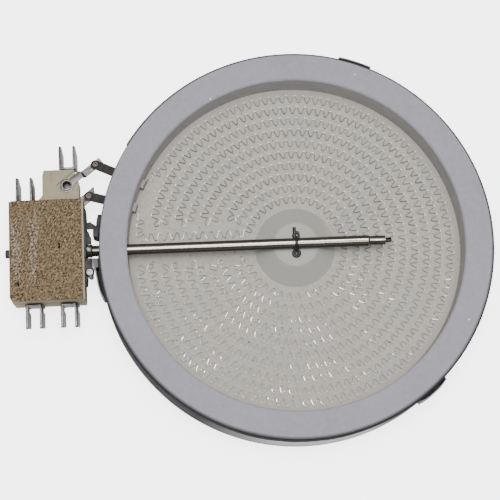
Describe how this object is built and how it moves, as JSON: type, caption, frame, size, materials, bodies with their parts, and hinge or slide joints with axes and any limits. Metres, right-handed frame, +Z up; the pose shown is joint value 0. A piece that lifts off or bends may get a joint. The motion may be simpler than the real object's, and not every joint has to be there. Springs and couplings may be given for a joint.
{
  "type": "radiant surface element",
  "caption": "Round radiant heating element for a glass-ceramic hob: insulated pan, zigzag ribbon heater, sensor tube across it and a switch head with push-on tabs at the side.",
  "frame": {"origin": "centre of the dish's flat underside, on its axis", "axes": "+Z up from the dish's underside to the glass; +X along the sensor tube away from the switch head, which is at -X; +Y completes a right-handed frame"},
  "size_m": [0.2032, 0.165, 0.028],
  "materials": {
    "dish_steel": "bare pressed steel, satin, darkened by heat",
    "base_fibre": "pressed microporous insulation, matt and chalky",
    "ring_fibre": "pressed vermiculite ring, matt with faint flecks",
    "ribbon_alloy": "thin resistance strip, satin grey",
    "scaled_steel": "dark heat scale",
    "tube_steel": "drawn stainless tube, straw tint",
    "rod_steel": "drawn rod, dull",
    "collar_steel": "turned steel, dull",
    "clip_wire": "bright wire",
    "steatite": "pressed unglazed steatite, cream",
    "mica_plate": "bonded mica grains, tan and brown with bright flakes",
    "bracket_steel": "dark plated sheet",
    "screw_steel": "plated screw, dull",
    "tab_steel": "nickel plated sheet",
    "link_steel": "bright bare strip",
    "rivet_steel": "plated rivet",
    "spring_alloy": "spring bronze strip",
    "contact_silver": "silver contact",
    "pin_ceramic": "white ceramic pin"
  },
  "bodies": {
    "root": {"dish": "dish_steel", "base_insulation": "base_fibre", "wall_ring": "ring_fibre", "heating_ribbon": "ribbon_alloy", "terminal_strip_outer": "scaled_steel", "terminal_strip_inner": "scaled_steel", "sensor_tube": "tube_steel", "expansion_rod": "rod_steel", "tube_collar": "collar_steel", "tube_clip": "clip_wire", "limiter_housing": "steatite", "cover_plate": "mica_plate", "mounting_bracket": "bracket_steel", "fixing_screw": "screw_steel", "adjusting_screw": "screw_steel", "tab_terminal_top": "tab_steel", "tab_terminal_back": "tab_steel", "tab_terminal_front_left": "tab_steel", "tab_terminal_front_right": "tab_steel", "link_strip_long": "link_steel", "link_strip_short": "link_steel", "link_rivet": "rivet_steel", "strip_eyelets": "rivet_steel", "signal_spring": "spring_alloy", "signal_contact": "spring_alloy", "power_spring": "spring_alloy", "power_contact": "spring_alloy", "contact_rivets": "contact_silver", "tab_rivets": "rivet_steel", "pressure_pin": "pin_ceramic", "spacer_pin": "pin_ceramic"}
  },
  "joints": []
}
